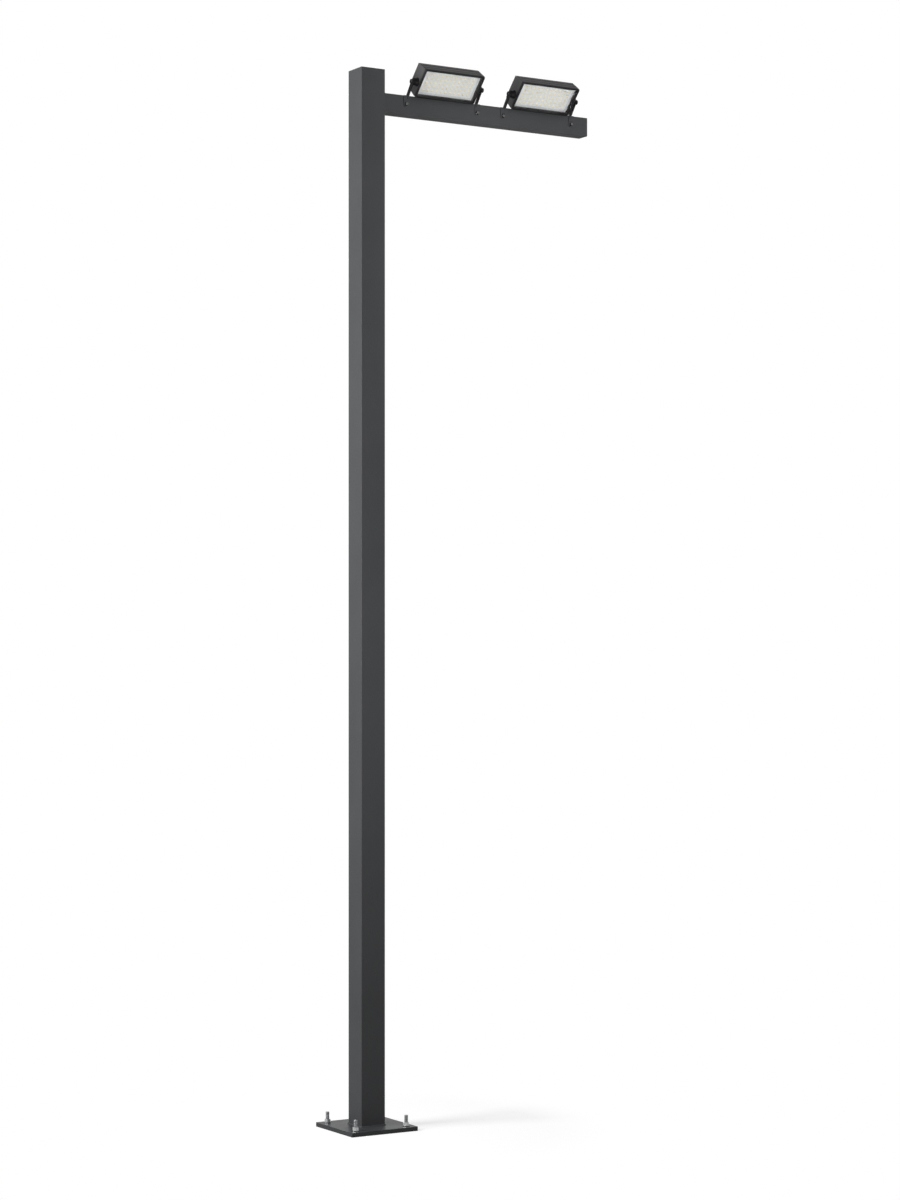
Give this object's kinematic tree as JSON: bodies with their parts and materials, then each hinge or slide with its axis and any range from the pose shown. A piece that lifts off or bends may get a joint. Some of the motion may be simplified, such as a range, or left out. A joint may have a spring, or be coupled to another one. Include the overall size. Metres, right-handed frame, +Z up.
{
  "type": "floodlight column",
  "caption": "Square steel floodlight column on an anchor-bolted base plate, with a welded side arm that carries tilting LED floodlights.",
  "frame": {"origin": "on the ground under the middle of the base plate, on the axis of the post", "axes": "+Z up along the post, +X along the arm, the floodlights look towards -Y"},
  "size_m": [1.55, 0.39, 5.5469],
  "materials": {
    "powder_coat": "satin",
    "bracket_coat": "satin",
    "lamp_coat": "satin",
    "zinc": "satin",
    "bolt_steel": "satin",
    "glass": "gloss",
    "led_board": "gloss",
    "gland": "satin"
  },
  "bodies": {
    "column": {"base_plate": "powder_coat", "post": "powder_coat", "post_weld": "powder_coat", "post_cap": "powder_coat", "anchor_stud_1": "zinc", "anchor_stud_2": "zinc", "anchor_stud_3": "zinc", "anchor_stud_4": "zinc", "anchor_washer_1": "zinc", "anchor_washer_2": "zinc", "anchor_washer_3": "zinc", "anchor_washer_4": "zinc", "anchor_nut_1": "zinc", "anchor_nut_2": "zinc", "anchor_nut_3": "zinc", "anchor_nut_4": "zinc", "arm": "powder_coat", "arm_weld": "powder_coat", "arm_end_cap": "powder_coat", "bracket_1_left": "bracket_coat", "bracket_1_right": "bracket_coat", "bracket_2_left": "bracket_coat", "bracket_2_right": "bracket_coat", "foot_bolts_1": "bolt_steel", "foot_bolts_2": "bolt_steel"},
    "floodlight_1": {"housing_1": "lamp_coat", "end_plate_1_left": "lamp_coat", "end_plate_1_right": "lamp_coat", "bezel_1": "lamp_coat", "glass_1": "glass", "led_board_1": "led_board", "pivot_bolt_1_left": "bolt_steel", "pivot_bolt_1_right": "bolt_steel", "cable_gland_1": "gland"},
    "floodlight_2": {"housing_2": "lamp_coat", "end_plate_2_left": "lamp_coat", "end_plate_2_right": "lamp_coat", "bezel_2": "lamp_coat", "glass_2": "glass", "led_board_2": "led_board", "pivot_bolt_2_left": "bolt_steel", "pivot_bolt_2_right": "bolt_steel", "cable_gland_2": "gland"}
  },
  "joints": [
    {"name": "floodlight_1_tilt", "type": "hinge", "parent": "column", "child": "floodlight_1", "pos_m": [0.43074, -0.094, 5.449], "axis": [1, 0, 0], "range_deg": [-44, 46]},
    {"name": "floodlight_2_tilt", "type": "hinge", "parent": "column", "child": "floodlight_2", "pos_m": [1.02891, -0.094, 5.449], "axis": [1, 0, 0], "range_deg": [-44, 46]}
  ]
}
